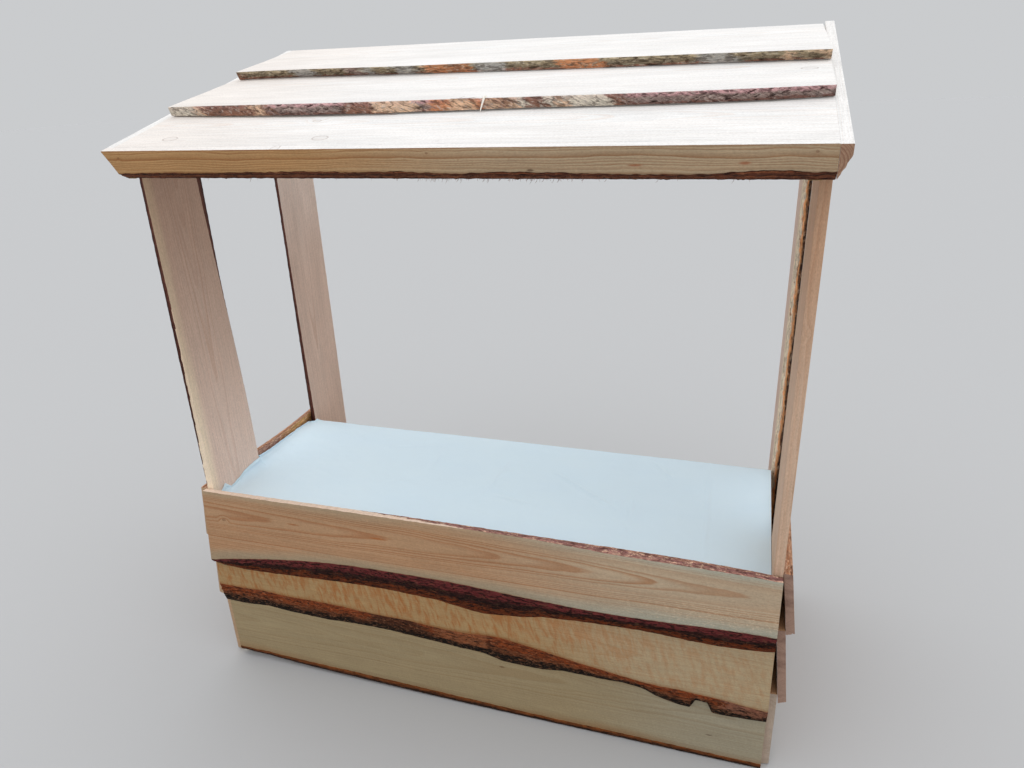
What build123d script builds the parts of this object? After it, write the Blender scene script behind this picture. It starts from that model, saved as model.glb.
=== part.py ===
from build123d import *
import math
import os

# A market stall of sawn boards that keep their bark edges. Two pairs of wide posts stand on the
# ground. Lapped boards close the front and both sides up to the counter, and three lapped boards
# make a roof with one slope, high at the back. A cloth lies on the counter.
# X runs along the front, Y goes from the customer's side to the seller's side, Z is up.
# The origin is on the ground, under the middle of the whole.

# Driving dimensions, in millimetres and degrees
frame_width = 1978        # over the outer faces of the posts
frame_depth = 948         # over the front and back edges of the posts
post_board = 27           # thickness of the posts
front_post_width = 290
back_post_width = 262
front_board = 26          # thickness of the front boards and the fascia
side_board = 25           # thickness of the side boards
roof_board = 28           # thickness of the roof boards
barge_board = 28          # thickness of the boards on the roof's two sides
fit = 0.2                 # clearance where a tilted board leans on the one below

front_tops = (285, 520, 750)      # top lines of the front boards, lowest first
side_tops = (300, 545, 752)       # top lines of the side boards, lowest first

table_height = 694                # top of the counter's boards
table_board = 24
table_depth = 698                 # from the front boards to the back edge
table_rows = 3
table_gap = 4                     # between two boards of the counter
bearer_height = 60                # under the counter's ends
bearer_board = 28
bearer_overlap = 57               # how far the bearers run along the back posts
rail_height = 70                  # under the counter's front and back
rail_board = 26
cloth = 2
cloth_drop = 22                   # how far the cloth hangs over the counter's back edge
post_turn = (10, 40, 24, 38, 30)  # how far its left edge is turned up along the front post
side_turn = (23, 18, 12, 5)       # and along the side board, between the posts
flap_gap = 2                      # from the cloth between the posts to the posts

roof_slope = 14.8
roof_front_height = 1932          # top edge of the fascia
front_overhang = 83               # from the posts' front edges to the face of the fascia
back_overhang = 13
fascia_height = 80
fascia_slant = 50                 # how far the fascia's left end is cut back at its lower edge
barge_height = 74
barge_face = 24                   # height of the sawn part of their outer face, above the bark
barge_reach = 6                   # how far the barge boards run past the roof boards
roof_laps = (40, 110)             # how far a roof board lies over the one below
roof_exposures = (308, 326)       # from one roof board's front line to the next
roof_left_cuts = (0, 8, 24)       # how far the boards' left ends are cut back at their front
roof_right_cuts = (0, 0, 8)       # how far their right ends are cut back at their top
rafter_height = 58
rafter_board = 30

# The boards' edges wander. Each edge is given at even stations along the board.
# Distances below the top line, from left to right, for the lower, middle and upper front board
front_under_back = (
    (270, 279, 283, 284, 284, 284, 284, 284, 284),
    (268, 268, 262, 268, 281, 290, 292, 310, 321),
    (313, 320, 308, 303, 312, 298, 290, 294, 276))
front_under_face = (
    (242, 264, 271, 277, 280, 281, 280, 281, 280),
    (185, 182, 176, 182, 181, 201, 228, 258, 263),
    (281, 241, 217, 211, 208, 211, 213, 202, 200))
front_over_back = ((0, 0), (0, 0), (2, 2, 0, -2, -3, -2, -2, 1, 12))
front_over_face = ((0, 0), (0, 0), (1, 1, -1, -2, -3, -3, 7, 10, 16))
front_left_ends = (14, 0, 0)      # how far the boards' left ends stop short of the post

# Distances below the top line, from the front to the back, for the lower, middle and upper board
side_under_back = ((300, 300), (280, 275, 287, 279), (219, 233, 244, 227))
side_under_face = ((295, 293, 296, 294), (272, 243, 257, 249), (213, 199, 211, 197))
side_over_back = ((0, 0), (0, 0), (3, 6, 18, 16, 10))
side_over_face = ((0, 0), (0, 0), (6, 13, 27, 25, 18))

# Distances from the post's front and back edge, from the ground to the top, on the outer face
# and on the inner face. Left and right posts differ as one tree differs from another.
front_post_edges = {
    -1: (((2, 2, 4, 8, 15), (5, 5, 6, 6, 0)), ((1, 1, 1, -5, -1), (18, 18, 20, 44, 61))),
    1: (((0, 0), (2, 6, 3, 6, 0)), ((4, 6, 3, 5, 4), (30, 34, 28, 32, 34)))}
back_post_edges = {
    -1: (((7, 8, 11, 15, 0), (6, 4, 3, 5, 0)), ((2, 1, -6, -6, -8), (20, 18, 14, 12, 2))),
    1: (((0, 0), (0, 0)), ((7, 9, 6, 8, 7), (10, 7, 12, 9, 11)))}

# Distances up the roof from each board's front line, from left to right
roof_under_front = ((0, 0), (-17, -42, -51, -41, -32, -29, 0), (29, 32, 7, -12, -22, -25, -35))
roof_over_front = ((0, 0), (-20, -22, -30, -28, -27, -20, -2), (18, 12, -10, -14, -24, -34, -50))
roof_back_falls = ((0, 0), (0, 0), (0, 47))     # how far the back edge falls short
fascia_arris = (66, 64, 67, 64)                 # down the fascia's face to its bark

# Places worked out from the sizes
half_width = frame_width / 2
post_inner = half_width - post_board
slope = math.radians(roof_slope)
roof_plan = front_overhang + frame_depth + back_overhang
roof_length = roof_plan / math.cos(slope)
plan_depth = roof_plan + barge_reach * math.cos(slope)
fascia_face = -plan_depth / 2
fascia_back = fascia_face + front_board
post_front = fascia_face + front_overhang
post_back = post_front + frame_depth
table_back = post_front + table_depth


def roof_height(y, drop=0.0):
    """Height of the roof plane over the depth y, lowered by drop at right angles to the slope."""
    return roof_front_height + (y - fascia_face) * math.tan(slope) - drop / math.cos(slope)


def stations(start, end, count):
    """Even places from start to end."""
    return [start + (end - start) * i / (count - 1) for i in range(count)]


def finish(board, label):
    """Name a finished piece and write its file."""
    board.part.label = label
    export_step(board.part, f"parts/{label}.step")


def edge(points):
    """One edge of a board: a straight line through two points, or a smooth curve through more."""
    return Line(*points) if len(points) == 2 else Spline(*points)


def waney_board(label, plane, thickness, back, face, cuts=()):
    """A board between its back, on the plane, and its face, a thickness further out.

    Back and face are each a pair of edges, lower and upper. Where the edges of the two differ,
    the slanted strip between them is the round outside of the log. The cuts are planes that the
    board is sawn off at, on the side they look to.
    """
    with BuildPart() as board:
        for distance, (lower, upper) in ((0, back), (thickness, face)):
            with BuildSketch(plane.offset(distance)):
                with BuildLine():
                    low = edge(lower)
                    high = edge(upper)
                    Line(low @ 0, high @ 0)
                    Line(low @ 1, high @ 1)
                make_face()
        loft(ruled=True)
        for cut in cuts:
            split(bisect_by=cut, keep=Keep.BOTTOM)
    finish(board, label)


def sawn_board(label, plane, thickness, corners):
    """A board or batten with square edges: an outline pushed out to its thickness."""
    with BuildPart() as board:
        with BuildSketch(plane):
            with BuildLine():
                Polyline(*corners, close=True)
            make_face()
        extrude(amount=thickness)
    finish(board, label)


def lapped_tilts(tops, thickness):
    """Tilt of each lapped board: it leans on the top corner of the one below and on its frame."""
    tilts = [0.0]
    for low, high in zip(tops, tops[1:]):
        corner = low + thickness * math.sin(tilts[-1])
        reach = thickness * math.cos(tilts[-1]) + fit
        tilts.append(math.atan2(reach, high - corner))
    return tilts


def lapped_plane(foot, outward, upward, top, tilt):
    """Plane of a lapped board's back, with its origin on the board's top line and y up the board."""
    normal = outward * math.cos(tilt) + upward * math.sin(tilt)
    return Plane(origin=foot + upward * top, x_dir=upward.cross(outward), z_dir=normal)


def hung(places, drops, tilt):
    """An edge's points on a lapped board, from the places along it and drops below its top line."""
    return [(place, -drop / math.cos(tilt)) for place, drop in zip(places, drops)]


os.makedirs("parts", exist_ok=True)
up = Vector(0, 0, 1)
names = ("lower", "middle", "upper")

# Front boards
front_tilts = lapped_tilts(front_tops, front_board)
for row, name in enumerate(names):
    edges = []
    for drops in (front_under_back, front_over_back, front_under_face, front_over_face):
        places = stations(-half_width + front_left_ends[row], half_width, len(drops[row]))
        edges.append(hung(places, drops[row], front_tilts[row]))
    waney_board(
        f"front_board_{name}",
        lapped_plane(Vector(0, post_front, 0), Vector(0, -1, 0), up, front_tops[row], front_tilts[row]),
        front_board, edges[:2], edges[2:])

# Side boards
side_tilts = lapped_tilts(side_tops, side_board)
for side, sign in (("left", -1), ("right", 1)):
    outward = Vector(sign, 0, 0)
    for row, name in enumerate(names):
        edges = []
        for drops in (side_under_back, side_over_back, side_under_face, side_over_face):
            places = stations(sign * post_front, sign * post_back, len(drops[row]))
            edges.append(hung(places, drops[row], side_tilts[row]))
        waney_board(
            f"{side}_board_{name}",
            lapped_plane(outward * half_width, outward, up, side_tops[row], side_tilts[row]),
            side_board, edges[:2], edges[2:])

# Posts
# A post's plane lies on its outer face. The top is sawn to the slope of the roof.
ground = Plane(origin=(0, 0, 0), z_dir=(0, 0, -1))
under_roof = Plane(origin=(0, 0, roof_height(0, roof_board)),
                   z_dir=(0, -math.sin(slope), math.cos(slope)))
for place, front, width, sides in (
        ("front", post_front, front_post_width, front_post_edges),
        ("back", post_back - back_post_width, back_post_width, back_post_edges)):
    back = front + width
    top = roof_height(back)
    for side, sign in (("left", -1), ("right", 1)):
        faces = []
        for front_edge, back_edge in sides[sign]:
            faces.append([
                list(zip(stations(-post_board, top, len(front_edge)),
                         [sign * (front + step) for step in front_edge])),
                list(zip(stations(-post_board, top, len(back_edge)),
                         [sign * (back - step) for step in back_edge]))])
        waney_board(
            f"post_{place}_{side}",
            Plane(origin=(sign * half_width, 0, 0), x_dir=(0, 0, 1), z_dir=(-sign, 0, 0)),
            post_board, *faces, cuts=(ground, under_roof))

# Counter
table_pitch = (table_depth + table_gap) / table_rows
table_under = table_height - table_board
for row, name in enumerate(("front", "middle", "back")[:table_rows]):
    near = post_front + row * table_pitch
    far = near + table_pitch - table_gap
    sawn_board(f"table_board_{name}", Plane.XY.offset(table_under), table_board,
               [(-post_inner, near), (post_inner, near), (post_inner, far), (-post_inner, far)])
bearer_low = table_under - bearer_height
bearer_back = post_back - back_post_width + bearer_overlap
for side, sign in (("left", -1), ("right", 1)):
    sawn_board(
        f"table_bearer_{side}",
        Plane(origin=(sign * post_inner, 0, 0), x_dir=(0, 1, 0), z_dir=(-sign, 0, 0)), bearer_board,
        [(y, -sign * z) for y, z in ((post_front, bearer_low), (bearer_back, bearer_low),
                                     (bearer_back, table_under), (post_front, table_under))])
rail_end = post_inner - bearer_board
rail_low = table_under - rail_height
for name, y in (("front", post_front + rail_board), ("back", table_back)):
    sawn_board(
        f"table_rail_{name}", Plane(origin=(0, y, 0), x_dir=(1, 0, 0), z_dir=(0, -1, 0)), rail_board,
        [(-rail_end, rail_low), (rail_end, rail_low), (rail_end, table_under), (-rail_end, table_under)])

# Cloth
# Its left edge is turned up against the front post and, between the posts, against the side board.
cloth_back = table_back + cloth
cloth_low = table_height - cloth_drop
cloth_top = table_height + cloth
sawn_board(
    "tablecloth", Plane(origin=(-post_inner, 0, 0), x_dir=(0, 1, 0), z_dir=(1, 0, 0)), 2 * post_inner,
    [(post_front, table_height), (table_back, table_height), (table_back, cloth_low),
     (cloth_back, cloth_low), (cloth_back, cloth_top), (post_front, cloth_top)])
flap_left = -half_width + fit
flap_front = post_front + front_post_width + flap_gap
flap_back = post_back - back_post_width - flap_gap
turn_right = -post_inner + cloth
turn_back = flap_front + cloth
with BuildPart() as turned_edge:
    for left, right, near, far, low, rises in (
            (-post_inner, turn_right, post_front, turn_back, cloth_top, post_turn),
            (flap_left, turn_right, flap_front, turn_back, cloth_top, side_turn[:1] * 2),
            (flap_left, -post_inner, flap_front, flap_back, table_height, (0, 0)),
            (flap_left, flap_left + cloth, flap_front, flap_back, table_height, side_turn)):
        tops = list(zip(stations(near, far, len(rises)), [cloth_top + rise for rise in rises]))
        with BuildSketch(Plane(origin=(left, 0, 0), x_dir=(0, 1, 0), z_dir=(1, 0, 0))):
            with BuildLine():
                Polyline((far, low), (near, low), *tops, close=True)
            make_face()
        extrude(amount=right - left)
finish(turned_edge, "tablecloth_edge")

# Roof boards
# Distances up the roof start at the face of the fascia. The boards' frame is the rafters' top.
roof_up = Vector(0, math.cos(slope), math.sin(slope))
roof_out = Vector(0, -math.sin(slope), math.cos(slope))
roof_foot = Vector(0, fascia_face, roof_front_height) - roof_out * roof_board
first = front_board / math.cos(slope)
second = roof_exposures[0]
third = second + roof_exposures[1]
roof_fronts = (first, second, third)
roof_tops = (second + roof_laps[0], third + roof_laps[1], roof_length)
roof_tilts = lapped_tilts(roof_tops, roof_board)
for row, name in enumerate(names):
    tilt = roof_tilts[row]
    back_edge = [(-half_width, -roof_back_falls[row][0]),
                 (half_width - roof_right_cuts[row], -roof_back_falls[row][1])]
    faces = []
    for shifts in (roof_under_front[row], roof_over_front[row]):
        drops = [roof_tops[row] - roof_fronts[row] - shift for shift in shifts]
        places = stations(roof_left_cuts[row] - half_width, half_width, len(drops))
        faces.append([hung(places, drops, tilt), back_edge])
    waney_board(f"roof_board_{name}", lapped_plane(roof_foot, roof_out, roof_up, roof_tops[row], tilt),
                roof_board, *faces)

# Rafters
rafter_back = fascia_face + roof_plan
rafter_drop = roof_board + rafter_height
for side, sign in (("left", -1), ("right", 1)):
    outline = [(y, roof_height(y, drop)) for y, drop in (
        (fascia_back, roof_board), (rafter_back, roof_board),
        (rafter_back, rafter_drop), (fascia_back, rafter_drop))]
    sawn_board(
        f"rafter_{side}",
        Plane(origin=(sign * post_inner, 0, 0), x_dir=(0, 1, 0), z_dir=(-sign, 0, 0)), rafter_board,
        [(y, -sign * z) for y, z in outline])

# Fascia
# Its left end covers the left barge board, and its right end meets the inside of the right one.
fascia_left = -half_width - barge_board
fascia_low = roof_front_height - fascia_height
fascia_start = fascia_left + fascia_slant
waney_board(
    "fascia_board", Plane(origin=(0, fascia_back, 0), x_dir=(1, 0, 0), z_dir=(0, -1, 0)), front_board,
    (((fascia_start, fascia_low), (half_width, fascia_low)),
     ((fascia_left, roof_height(fascia_back)), (half_width, roof_height(fascia_back)))),
    (list(zip(stations(fascia_start, half_width, len(fascia_arris)),
              [roof_front_height - drop for drop in fascia_arris])),
     ((fascia_left, roof_front_height), (half_width, roof_front_height))))

# Barge boards
# Both lie on the posts' outer faces, with the bark on the lower edge of their outer face. Their
# ends are cut upright. The left one stops behind the fascia.
barge_end = roof_length + barge_reach
plumb = math.tan(slope)
for side, sign, start in (("left", -1, first), ("right", 1, 0)):
    faces = []
    for height in (barge_height, barge_face):
        faces.append([
            [(sign * (start - height * plumb), -height), (sign * (barge_end - height * plumb), -height)],
            [(sign * start, 0), (sign * barge_end, 0)]])
    waney_board(
        f"barge_board_{side}",
        Plane(origin=roof_foot + roof_out * roof_board + Vector(sign * half_width, 0, 0),
              x_dir=roof_up * sign, z_dir=(sign, 0, 0)),
        barge_board, *faces)
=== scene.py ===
"""Looks of a market stall of rough-sawn boards: grain, bark edges, a laid cloth and soft daylight.

Every board is drawn again as a fine mesh between the four edges of its CAD node. Sizes are in
metres, and a place on a board is given from the middle of the board.
"""
import math

import bmesh
import bpy
import numpy as np
from mathutils import Matrix, Vector, noise


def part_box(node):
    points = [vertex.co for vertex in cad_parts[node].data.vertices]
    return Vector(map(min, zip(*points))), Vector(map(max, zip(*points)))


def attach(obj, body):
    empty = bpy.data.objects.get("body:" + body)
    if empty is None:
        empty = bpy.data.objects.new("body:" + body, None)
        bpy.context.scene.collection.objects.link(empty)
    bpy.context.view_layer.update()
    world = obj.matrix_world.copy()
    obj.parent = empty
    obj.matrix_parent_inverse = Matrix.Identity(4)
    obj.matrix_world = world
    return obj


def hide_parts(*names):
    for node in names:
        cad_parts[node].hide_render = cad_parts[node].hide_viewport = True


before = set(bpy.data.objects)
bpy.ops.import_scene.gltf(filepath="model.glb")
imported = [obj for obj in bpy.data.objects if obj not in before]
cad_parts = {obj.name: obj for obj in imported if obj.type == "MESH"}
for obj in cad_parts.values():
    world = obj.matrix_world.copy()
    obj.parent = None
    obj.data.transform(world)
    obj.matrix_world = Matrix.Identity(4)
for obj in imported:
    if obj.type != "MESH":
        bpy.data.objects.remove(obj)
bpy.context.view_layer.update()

# The camera stands where the photograph was taken from
camera_place = (0.8273, -2.3274, 2.1062)
camera_turn = 18.523  # degrees to the left of straight across the front
camera_dip = 22.904  # degrees below level
camera_roll = 2.449  # degrees clockwise
camera_focal = 745.0  # in pixels of the photograph
photo_width = 1024
sensor_width = 36.0  # millimetres

roof_slope = math.radians(14.8)
face_tolerance = 0.0002  # how far a vertex may lie off the face that it belongs to
ground_gap = 0.0002  # the boards' meshes stay this far above the ground
facing_share = 0.9  # how squarely a face has to face outwards to count as outer
arris = 0.0014  # how far the corner of a sawn edge is worn back
sawn_wander = 0.0003  # how far a sawn edge strays from its line
waney_wander = 0.0012  # and an edge with bark
sharp_angle = math.radians(42)
fine_step = 0.004  # from one station to the next along the boards that show most
plain_step = 0.007
coarse_step = 0.02  # along hidden boards
bark_row = 0.0032
bark_sharp = 60  # how steeply bark ends along the board
bare_sharp = 80  # and where it is worn off
hang_waves = ((27, 1.0), (80, 0.6), (260, 0.5))  # frequency and share of the bark's ragged line

# Patterns in wood and bark, as repeats to the metre along the board, across it and in its depth
cloud_scale = (3, 16, 16)
broad_scale = (2.5, 14, 14)
fibre_scale = (9, 260, 260)
fuzz_scale = (150, 420, 420)
speck_scale = (80, 300, 300)
saw_scale = (160, 16, 16)
curl_scale = (70, 21, 15)
bark_fibre_scale = (30, 260, 260)
plate_scale = (14, 60, 60)
patch_scale = (60, 170, 170)
blot_scale = (38, 120, 120)
fine_scale = (340, 800, 800)
sapwood_blur = 0.05
torn_grain = (238, 216, 184)
knot_brown = (112, 74, 50)

left = Vector((-1, 0, 0))
right = Vector((1, 0, 0))
front = Vector((0, -1, 0))
back = Vector((0, 1, 0))
up = Vector((0, 0, 1))
roof_up = Vector((0, math.cos(roof_slope), math.sin(roof_slope)))


def tone(red, green, blue):
    """A colour as it shows on a screen, from 0 to 255, as the linear colour of a shader."""
    linear = []
    for value in (red, green, blue):
        share = value / 255
        linear.append(share / 12.92 if share <= 0.04045 else ((share + 0.055) / 1.055) ** 2.4)
    return (*linear, 1.0)


class Tree:
    """The nodes of one material or world."""

    def __init__(self, owner):
        self.owner = owner
        owner.use_nodes = True
        self.nodes = owner.node_tree.nodes
        self.links = owner.node_tree.links
        self.nodes.clear()

    def add(self, kind, inputs=None, **settings):
        """Add a node, with a value or another node's output for each input that is named."""
        node = self.nodes.new("ShaderNode" + kind)
        for name, value in settings.items():
            setattr(node, name, value)
        for name, value in (inputs or {}).items():
            if isinstance(value, bpy.types.NodeSocket):
                self.links.new(value, node.inputs[name])
            else:
                node.inputs[name].default_value = value
        return node

    def math(self, operation, first, second=0.0, third=0.0):
        return self.add("Math", {0: first, 1: second, 2: third}, operation=operation).outputs[0]

    def line(self, value, factor, offset):
        """The value times the factor, plus the offset."""
        return self.math("MULTIPLY_ADD", value, factor, offset)

    def total(self, *parts):
        """The sum of values, each given as a socket or as a pair of a socket and its weight."""
        result = None
        for part in parts:
            value, weight = part if isinstance(part, tuple) else (part, 1.0)
            if result is None:
                result = self.math("MULTIPLY", value, weight)
            else:
                result = self.line(value, weight, result)
        return result

    def product(self, *values):
        result = values[0]
        for value in values[1:]:
            result = self.math("MULTIPLY", result, value)
        return result

    def distance(self, first, second):
        """The length of a vector with two parts."""
        return self.math("SQRT", self.line(first, first, self.product(second, second)))

    def reach(self, parts, middle, length, breadth):
        """How far a place is from a middle, as 1 on the ellipse of that length and breadth."""
        x = self.line(parts[0], 1 / length, -middle[0] / length)
        y = self.line(parts[1], 1 / breadth, -middle[1] / breadth)
        return self.distance(x, y)

    def times(self, first, second):
        """Two vectors or colours multiplied, part by part."""
        return self.add("VectorMath", {0: first, 1: second}, operation="MULTIPLY").outputs[0]

    def noise(self, vector, scale, detail=2.0, roughness=0.55, distortion=0.0):
        """Smooth noise round 0.5, with its repeats to the metre along each axis."""
        inputs = {"Vector": self.times(vector, scale), "Scale": 1.0, "Detail": detail,
                  "Roughness": roughness, "Distortion": distortion}
        return self.add("TexNoise", inputs).outputs["Fac"]

    def line_noise(self, place, frequency, offset):
        """Noise along one axis, round 0."""
        along = self.line(place, frequency, offset)
        node = self.add("TexNoise", {"W": along, "Scale": 1.0, "Detail": 1.0}, noise_dimensions="1D")
        return self.math("SUBTRACT", node.outputs["Fac"], 0.5)

    def rise(self, value, low, high):
        """0 below low, 1 above high and a smooth rise between them."""
        inputs = {"Value": value, "From Min": low, "From Max": high}
        return self.add("MapRange", inputs, interpolation_type="SMOOTHSTEP").outputs[0]

    def fall(self, value, low, high):
        """1 below low, 0 above high and a smooth fall between them."""
        return self.math("SUBTRACT", 1.0, self.rise(value, low, high))

    def mix(self, factor, first, second):
        """Two colours mixed by the factor."""
        inputs = {0: factor, 6: first, 7: second}
        return self.add("Mix", inputs, data_type="RGBA").outputs[2]

    def lit(self, colour, light):
        """A colour made lighter or darker."""
        return self.add("VectorMath", {0: colour, 3: light}, operation="SCALE").outputs[0]

    def surface(self, colour, roughness, height, strength, distance, **sockets):
        """Finish the material as a rough surface with fine relief."""
        normal = self.add("Bump", {"Height": height, "Strength": strength, "Distance": distance})
        inputs = {"Base Color": colour, "Roughness": roughness, "Normal": normal.outputs["Normal"],
                  **{name.replace("_", " "): value for name, value in sockets.items()}}
        shader = self.add("BsdfPrincipled", inputs)
        self.add("OutputMaterial", {"Surface": shader.outputs["BSDF"]})
        return self.owner

    def grain(self, seed, slant=0.0):
        """The place on the board, moved along by the seed, and the place's three parts.

        With a slant, what is drawn at that place runs aslant, down to the board's right.
        """
        place = self.add("Attribute", attribute_name="grain").outputs["Vector"]
        parts = self.add("SeparateXYZ", {0: place}).outputs
        depth = self.line(parts[0], slant, parts[2])
        moved = self.add("CombineXYZ", {0: self.math("ADD", parts[0], seed * 3.1),
                                        1: self.math("ADD", parts[1], seed), 2: depth})
        return moved.outputs[0], parts


def wood(name, colours, pith, taper=0.0, ring=0.0042, sway=0.004, waver=0.008, contrast=0.4,
         sapwood=(), figure=None, stain=(), tints_and_painted_light=(), marks=0.4, knots=(), knot_fill=0.75,
         patches=(), dashes=0.0, seed=0.0):
    """Sawn wood, cut from a log whose year rings run round its pith.

    The colours are those of early wood, late wood and sapwood, as they show on a screen. Pith is the
    place of the pith across the board and in its depth, and taper is how fast it sinks along the
    board, which draws the rings into pointed arches. Sapwood is how wide the sapwood is along the
    lower and the upper edge. Figure is the colour of cross-grained streaks with its share.
    A stain is a colour with its reach from the lower and the upper edge. Each tint is a colour that
    the wood turns to along the board, from a start to an end; some tints are painted light, painted
    shade and painted sheen. Dashes are light flecks of torn grain.
    A knot has its place along and across and its radius, and a patch its length, height and colour.
    """
    early, late, sap = (tone(*colour) for colour in colours)
    tree = Tree(bpy.data.materials.new("wood_" + name))
    place, (along, across, depth) = tree.grain(seed)
    rim = tree.add("Attribute", attribute_name="rim").outputs["Vector"]
    rim = tree.add("SeparateXYZ", {0: rim}).outputs

    y = tree.total(across, (tree.line_noise(along, 1.3, seed), -2 * sway))
    y = tree.math("SUBTRACT", y, pith[0])
    z = tree.total(depth, (along, taper), (tree.line_noise(along, 1.9, seed + 7), -2 * sway))
    z = tree.math("SUBTRACT", z, pith[1])
    cloud = tree.noise(place, cloud_scale, detail=3)
    radius = tree.line(cloud, waver, tree.distance(y, z))
    knot_mask = None
    for knot in knots:
        reach = tree.reach((along, across), knot, knot[2] / 0.7, knot[2])
        radius = tree.line(tree.fall(reach, 0.3, 4.0), knot[2] * 0.9, radius)
        inside = tree.fall(reach, 0.8, 1.1)
        outline = tree.product(tree.rise(reach, 0.75, 0.95), inside)
        inside = tree.math("MAXIMUM", tree.product(inside, knot_fill), outline)
        knot_mask = inside if knot_mask is None else tree.math("MAXIMUM", knot_mask, inside)

    count = tree.math("DIVIDE", radius, ring)
    count = tree.total(count, (tree.line_noise(count, 0.4, seed), 1.6))
    phase = tree.math("FRACT", count)
    strength = tree.line_noise(tree.math("FLOOR", count), 0.73, seed)
    strength = tree.line(strength, 1.6, 0.6)
    dark = tree.product(tree.rise(phase, 0.25, 0.85), tree.fall(phase, 0.9, 1.0), strength, contrast)
    colour = tree.mix(dark, early, late)
    broad = tree.noise(place, broad_scale, detail=3)
    for distance, width in zip(rim, sapwood):
        if width:
            edge = tree.total(distance, (broad, sapwood_blur))
            near = tree.fall(edge, width, width + sapwood_blur)
            colour = tree.mix(tree.product(near, 0.8), colour, sap)

    fibre = tree.noise(place, fibre_scale, detail=3, roughness=0.6)
    fuzz = tree.noise(place, fuzz_scale, detail=2)
    lean = tree.add("CombineXYZ", {0: tree.total(along, (across, 0.3)), 1: across, 2: depth}).outputs[0]
    saw = tree.noise(lean, saw_scale, distortion=0.4)
    if figure is not None:
        curl = tree.noise(lean, curl_scale, detail=3, distortion=0.4)
        thick = tree.total((broad, 0.4), (curl, 1.0), (rim[1], -0.6))
        share = tree.line(tree.fall(along, -0.1, 0.9), 0.6 * figure[1], 0.4 * figure[1])
        share = tree.product(tree.rise(thick, 0.5, 0.84), share)
        colour = tree.mix(share, colour, tone(*figure[0]))
    for distance, reach in zip(rim, stain[1:]):
        if reach:
            near = tree.total(distance, (broad, reach), (fuzz, 0.3 * reach))
            near = tree.fall(near, 0.4 * reach, 1.7 * reach)
            colour = tree.mix(tree.product(near, 0.75), colour, tone(*stain[0]))
    # Some tints are painted light, shade and sheen along the board
    for tint, start, end in tints_and_painted_light:
        shift = tree.total(along, (broad, 0.25))
        # The shift lies about 0.12 above the place on the board
        spread = tree.rise(shift, min(start, end) + 0.12, max(start, end) + 0.12)
        first, last = ((1, 1, 1, 1), tint) if end > start else (tint, (1, 1, 1, 1))
        colour = tree.times(colour, tree.mix(spread, first, last))
    speck = tree.noise(place, speck_scale, detail=3, roughness=0.7)
    colour = tree.mix(tree.product(tree.rise(speck, 0.6, 0.7), 0.35), colour, late)
    if dashes:
        torn = tree.product(tree.rise(speck, 0.56, 0.62), tree.rise(along, 0.2, 0.8),
                            tree.fall(rim[0], 0.05, 0.1))
        colour = tree.mix(tree.product(torn, dashes), colour, tone(*torn_grain))
    for *middle, length, breadth, patch_colour in patches:
        reach = tree.reach((along, across), middle, length, breadth)
        reach = tree.total(reach, (fibre, 0.8), (cloud, 0.8))
        share = tree.product(tree.fall(reach, 1.1, 2.0), 0.7)
        colour = tree.mix(share, colour, tone(*patch_colour))
    light = tree.total((broad, 0.25), (fibre, 0.4), (fuzz, 0.5), (saw, 0.4 * marks))
    colour = tree.lit(colour, tree.math("ADD", light, 0.425 - 0.2 * marks))
    if knot_mask is not None:
        colour = tree.mix(tree.product(knot_mask, 0.6), colour, tone(*knot_brown))

    height = tree.total((fibre, 0.5), (fuzz, 0.5), (saw, marks))
    return tree.surface(colour, 0.82, height, 0.55, 0.0012, Specular_IOR_Level=0.25)


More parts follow.
